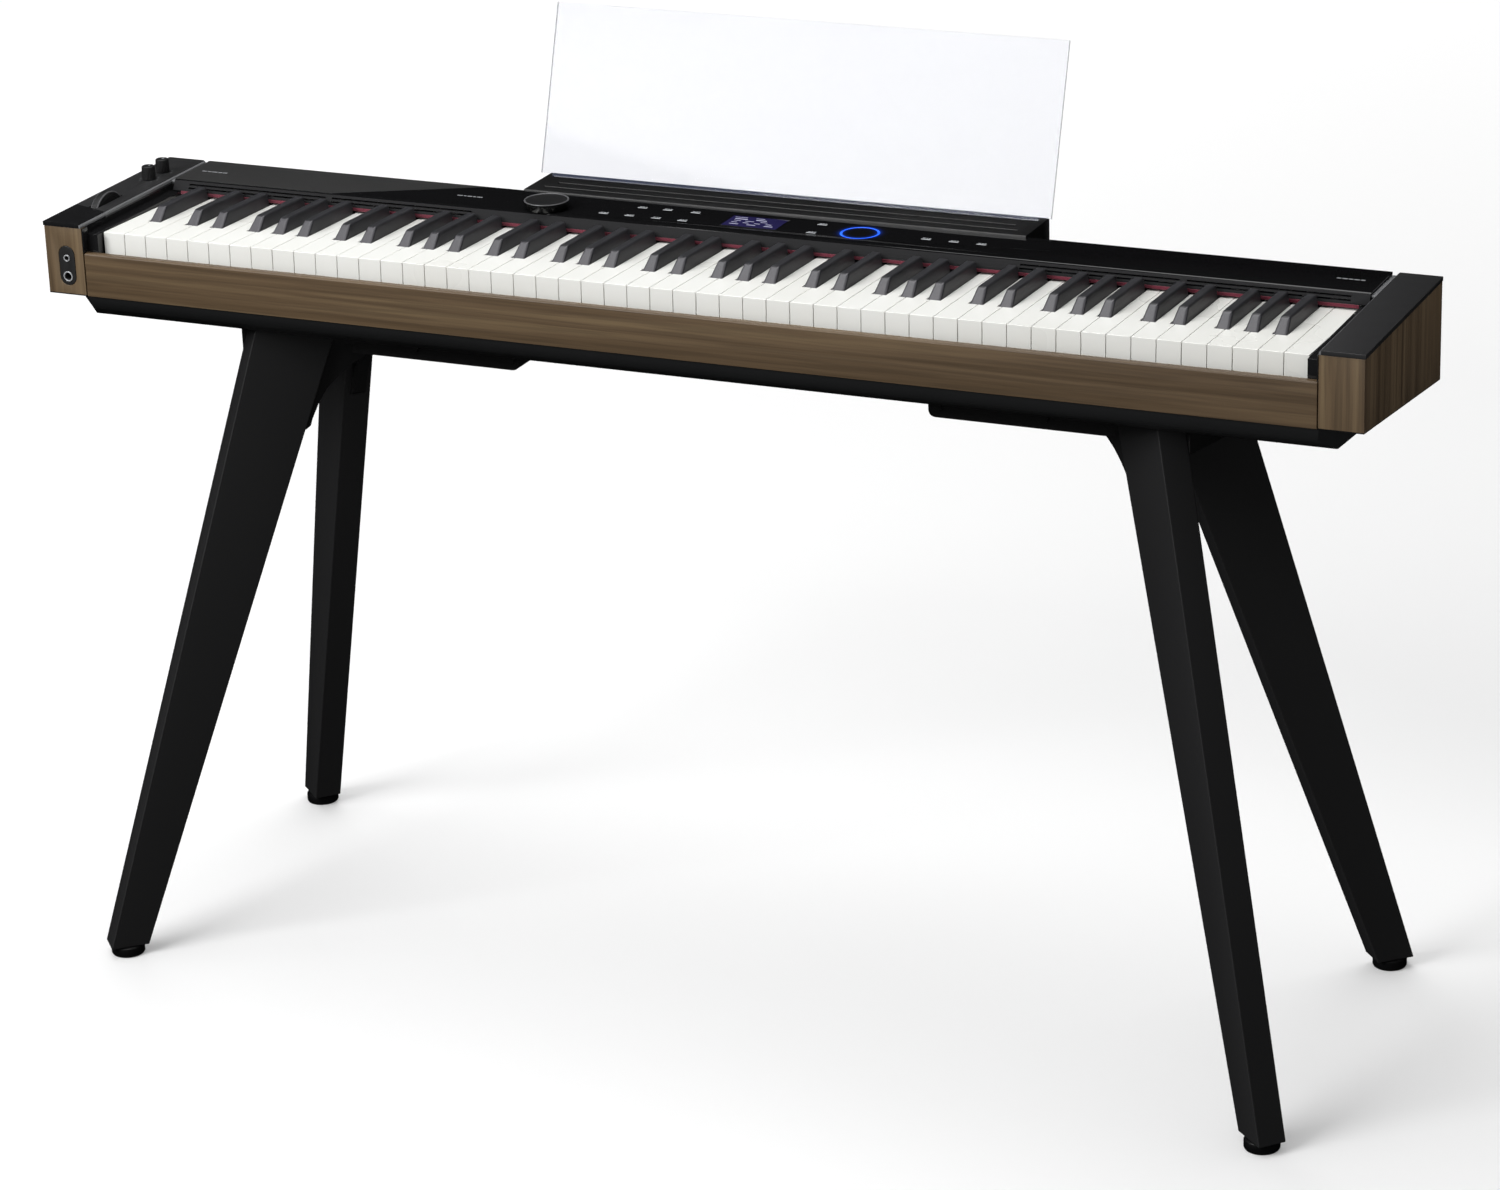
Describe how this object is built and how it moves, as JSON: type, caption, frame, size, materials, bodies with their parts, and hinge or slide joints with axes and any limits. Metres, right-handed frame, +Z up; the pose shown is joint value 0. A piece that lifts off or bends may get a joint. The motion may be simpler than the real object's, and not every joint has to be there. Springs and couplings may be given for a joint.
{
  "type": "digital piano",
  "caption": "Slim black digital piano with walnut cheeks and front rail, full keyboard, clear music rest and a four-legged black stand",
  "frame": {"origin": "on the floor, midway between the four feet; the middle of the bounding box", "axes": "+X toward the treble end, +Y away from the player, +Z up"},
  "size_m": [1.34, 0.4566, 0.9149],
  "materials": {
    "walnut": "satin oiled",
    "gloss_black": "polished",
    "satin_black": "fine satin",
    "key_white": "satin",
    "key_black": "fine grained matt",
    "felt": "felt",
    "stand_black": "matt black foil over board",
    "chassis": "moulded",
    "board_green": "solder mask",
    "light_blue": "lit translucent",
    "lens": "polished",
    "rubber": "moulded",
    "acrylic": "clear polished sheet"
  },
  "bodies": {
    "body": {"lower_case": "satin_black", "left_cheek": "walnut", "right_cheek": "walnut", "front_rail": "walnut", "left_end_cap": "satin_black", "right_end_cap": "satin_black", "top_panel": "gloss_black", "key_felt": "felt", "display_lens": "lens", "touch_ring": "light_blue", "jack_plate": "satin_black", "rear_panel": "satin_black", "music_rest_holder": "satin_black", "key_chassis": "chassis", "key_fulcrum_rail": "chassis", "main_circuit_board": "board_green", "left_speaker": "chassis", "right_speaker": "chassis", "left_stand_beam": "stand_black", "right_stand_beam": "stand_black", "front_left_leg": "stand_black", "rear_left_leg": "stand_black", "front_right_leg": "stand_black", "rear_right_leg": "stand_black", "front_left_foot": "rubber", "rear_left_foot": "rubber", "front_right_foot": "rubber", "rear_right_foot": "rubber"},
    "dial": {"volume_dial": "gloss_black"},
    "knob_front": {"front_knob": "satin_black"},
    "knob_rear": {"rear_knob": "satin_black"},
    "wheel": {"pitch_wheel": "satin_black"},
    "rest": {"music_rest": "acrylic"},
    "white_keys_octave_0_body": {"white_keys_octave_0": "key_white"},
    "white_keys_octave_1_body": {"white_keys_octave_1": "key_white"},
    "black_keys_octave_1_body": {"black_keys_octave_1": "key_black"},
    "white_keys_octave_2_body": {"white_keys_octave_2": "key_white"},
    "black_keys_octave_2_body": {"black_keys_octave_2": "key_black"},
    "white_keys_octave_3_body": {"white_keys_octave_3": "key_white"},
    "black_keys_octave_3_body": {"black_keys_octave_3": "key_black"},
    "white_keys_octave_5_body": {"white_keys_octave_5": "key_white"},
    "black_keys_octave_5_body": {"black_keys_octave_5": "key_black"},
    "white_keys_octave_6_body": {"white_keys_octave_6": "key_white"},
    "black_keys_octave_6_body": {"black_keys_octave_6": "key_black"},
    "white_keys_octave_7_body": {"white_keys_octave_7": "key_white"},
    "black_keys_octave_7_body": {"black_keys_octave_7": "key_black"},
    "key_as0_body": {"key_as0": "key_black"},
    "key_c4_body": {"key_c4": "key_white"},
    "key_cs4_body": {"key_cs4": "key_black"},
    "key_d4_body": {"key_d4": "key_white"},
    "key_ds4_body": {"key_ds4": "key_black"},
    "key_e4_body": {"key_e4": "key_white"},
    "key_f4_body": {"key_f4": "key_white"},
    "key_fs4_body": {"key_fs4": "key_black"},
    "key_g4_body": {"key_g4": "key_white"},
    "key_gs4_body": {"key_gs4": "key_black"},
    "key_a4_body": {"key_a4": "key_white"},
    "key_as4_body": {"key_as4": "key_black"},
    "key_b4_body": {"key_b4": "key_white"},
    "key_c8_body": {"key_c8": "key_white"}
  },
  "joints": [
    {"name": "white_keys_octave_0_hinge", "type": "hinge", "parent": "body", "child": "white_keys_octave_0_body", "pos_m": [-0.59, 0.061, 0.7182], "axis": [1, 0, 0], "range_deg": [0, 3.14], "stiffness_Nm_per_rad": 1.8, "springref_deg": -9.74},
    {"name": "white_keys_octave_1_hinge", "type": "hinge", "parent": "body", "child": "white_keys_octave_1_body", "pos_m": [-0.4838, 0.061, 0.7182], "axis": [1, 0, 0], "range_deg": [0, 3.14], "stiffness_Nm_per_rad": 6.3, "springref_deg": -9.74},
    {"name": "black_keys_octave_1_hinge", "type": "hinge", "parent": "body", "child": "black_keys_octave_1_body", "pos_m": [-0.4838, 0.061, 0.7182], "axis": [1, 0, 0], "range_deg": [0, 4], "stiffness_Nm_per_rad": 4, "springref_deg": -9.74},
    {"name": "white_keys_octave_2_hinge", "type": "hinge", "parent": "body", "child": "white_keys_octave_2_body", "pos_m": [-0.3186, 0.061, 0.7182], "axis": [1, 0, 0], "range_deg": [0, 3.14], "stiffness_Nm_per_rad": 6.3, "springref_deg": -9.74},
    {"name": "black_keys_octave_2_hinge", "type": "hinge", "parent": "body", "child": "black_keys_octave_2_body", "pos_m": [-0.3186, 0.061, 0.7182], "axis": [1, 0, 0], "range_deg": [0, 4], "stiffness_Nm_per_rad": 4, "springref_deg": -9.74},
    {"name": "white_keys_octave_3_hinge", "type": "hinge", "parent": "body", "child": "white_keys_octave_3_body", "pos_m": [-0.1534, 0.061, 0.7182], "axis": [1, 0, 0], "range_deg": [0, 3.14], "stiffness_Nm_per_rad": 6.3, "springref_deg": -9.74},
    {"name": "black_keys_octave_3_hinge", "type": "hinge", "parent": "body", "child": "black_keys_octave_3_body", "pos_m": [-0.1534, 0.061, 0.7182], "axis": [1, 0, 0], "range_deg": [0, 4], "stiffness_Nm_per_rad": 4, "springref_deg": -9.74},
    {"name": "white_keys_octave_5_hinge", "type": "hinge", "parent": "body", "child": "white_keys_octave_5_body", "pos_m": [0.177, 0.061, 0.7182], "axis": [1, 0, 0], "range_deg": [0, 3.14], "stiffness_Nm_per_rad": 6.3, "springref_deg": -9.74},
    {"name": "black_keys_octave_5_hinge", "type": "hinge", "parent": "body", "child": "black_keys_octave_5_body", "pos_m": [0.177, 0.061, 0.7182], "axis": [1, 0, 0], "range_deg": [0, 4], "stiffness_Nm_per_rad": 4, "springref_deg": -9.74},
    {"name": "white_keys_octave_6_hinge", "type": "hinge", "parent": "body", "child": "white_keys_octave_6_body", "pos_m": [0.3422, 0.061, 0.7182], "axis": [1, 0, 0], "range_deg": [0, 3.14], "stiffness_Nm_per_rad": 6.3, "springref_deg": -9.74},
    {"name": "black_keys_octave_6_hinge", "type": "hinge", "parent": "body", "child": "black_keys_octave_6_body", "pos_m": [0.3422, 0.061, 0.7182], "axis": [1, 0, 0], "range_deg": [0, 4], "stiffness_Nm_per_rad": 4, "springref_deg": -9.74},
    {"name": "white_keys_octave_7_hinge", "type": "hinge", "parent": "body", "child": "white_keys_octave_7_body", "pos_m": [0.5074, 0.061, 0.7182], "axis": [1, 0, 0], "range_deg": [0, 3.14], "stiffness_Nm_per_rad": 6.3, "springref_deg": -9.74},
    {"name": "black_keys_octave_7_hinge", "type": "hinge", "parent": "body", "child": "black_keys_octave_7_body", "pos_m": [0.5074, 0.061, 0.7182], "axis": [1, 0, 0], "range_deg": [0, 4], "stiffness_Nm_per_rad": 4, "springref_deg": -9.74},
    {"name": "key_as0_hinge", "type": "hinge", "parent": "body", "child": "key_as0_body", "pos_m": [-0.58663, 0.061, 0.7182], "axis": [1, 0, 0], "range_deg": [0, 4], "stiffness_Nm_per_rad": 0.8, "springref_deg": -9.74},
    {"name": "key_c4_hinge", "type": "hinge", "parent": "body", "child": "key_c4_body", "pos_m": [-0.059, 0.061, 0.7182], "axis": [1, 0, 0], "range_deg": [0, 3.14], "stiffness_Nm_per_rad": 0.9, "springref_deg": -9.74},
    {"name": "key_cs4_hinge", "type": "hinge", "parent": "body", "child": "key_cs4_body", "pos_m": [-0.04956, 0.061, 0.7182], "axis": [1, 0, 0], "range_deg": [0, 4], "stiffness_Nm_per_rad": 0.8, "springref_deg": -9.74},
    {"name": "key_d4_hinge", "type": "hinge", "parent": "body", "child": "key_d4_body", "pos_m": [-0.0354, 0.061, 0.7182], "axis": [1, 0, 0], "range_deg": [0, 3.14], "stiffness_Nm_per_rad": 0.9, "springref_deg": -9.74},
    {"name": "key_ds4_hinge", "type": "hinge", "parent": "body", "child": "key_ds4_body", "pos_m": [-0.02124, 0.061, 0.7182], "axis": [1, 0, 0], "range_deg": [0, 4], "stiffness_Nm_per_rad": 0.8, "springref_deg": -9.74},
    {"name": "key_e4_hinge", "type": "hinge", "parent": "body", "child": "key_e4_body", "pos_m": [-0.0118, 0.061, 0.7182], "axis": [1, 0, 0], "range_deg": [0, 3.14], "stiffness_Nm_per_rad": 0.9, "springref_deg": -9.74},
    {"name": "key_f4_hinge", "type": "hinge", "parent": "body", "child": "key_f4_body", "pos_m": [0.0118, 0.061, 0.7182], "axis": [1, 0, 0], "range_deg": [0, 3.14], "stiffness_Nm_per_rad": 0.9, "springref_deg": -9.74},
    {"name": "key_fs4_hinge", "type": "hinge", "parent": "body", "child": "key_fs4_body", "pos_m": [0.02023, 0.061, 0.7182], "axis": [1, 0, 0], "range_deg": [0, 4], "stiffness_Nm_per_rad": 0.8, "springref_deg": -9.74},
    {"name": "key_g4_hinge", "type": "hinge", "parent": "body", "child": "key_g4_body", "pos_m": [0.0354, 0.061, 0.7182], "axis": [1, 0, 0], "range_deg": [0, 3.14], "stiffness_Nm_per_rad": 0.9, "springref_deg": -9.74},
    {"name": "key_gs4_hinge", "type": "hinge", "parent": "body", "child": "key_gs4_body", "pos_m": [0.0472, 0.061, 0.7182], "axis": [1, 0, 0], "range_deg": [0, 4], "stiffness_Nm_per_rad": 0.8, "springref_deg": -9.74},
    {"name": "key_a4_hinge", "type": "hinge", "parent": "body", "child": "key_a4_body", "pos_m": [0.059, 0.061, 0.7182], "axis": [1, 0, 0], "range_deg": [0, 3.14], "stiffness_Nm_per_rad": 0.9, "springref_deg": -9.74},
    {"name": "key_as4_hinge", "type": "hinge", "parent": "body", "child": "key_as4_body", "pos_m": [0.07417, 0.061, 0.7182], "axis": [1, 0, 0], "range_deg": [0, 4], "stiffness_Nm_per_rad": 0.8, "springref_deg": -9.74},
    {"name": "key_b4_hinge", "type": "hinge", "parent": "body", "child": "key_b4_body", "pos_m": [0.0826, 0.061, 0.7182], "axis": [1, 0, 0], "range_deg": [0, 3.14], "stiffness_Nm_per_rad": 0.9, "springref_deg": -9.74},
    {"name": "key_c8_hinge", "type": "hinge", "parent": "body", "child": "key_c8_body", "pos_m": [0.6018, 0.061, 0.7182], "axis": [1, 0, 0], "range_deg": [0, 3.14], "stiffness_Nm_per_rad": 0.9, "springref_deg": -9.74},
    {"name": "dial_turn", "type": "hinge", "parent": "body", "child": "dial", "pos_m": [-0.214, 0.0511, 0.759], "axis": [0, 0, 1], "range_deg": [-150, 150]},
    {"name": "knob_front_turn", "type": "hinge", "parent": "body", "child": "knob_front", "pos_m": [-0.647, 0.023, 0.764], "axis": [0, 0, 1], "range_deg": [-150, 150]},
    {"name": "knob_rear_turn", "type": "hinge", "parent": "body", "child": "knob_rear", "pos_m": [-0.647, 0.05, 0.764], "axis": [0, 0, 1], "range_deg": [-150, 150]},
    {"name": "wheel_turn", "type": "hinge", "parent": "body", "child": "wheel", "pos_m": [-0.647, -0.06, 0.7311], "axis": [1, 0, 0], "range_deg": [-35, 35], "stiffness_Nm_per_rad": 0.03},
    {"name": "music_rest_lift", "type": "slide", "parent": "body", "child": "rest", "axis": [0, 0.3198, 0.9475], "range_m": [0, 0.05]}
  ]
}
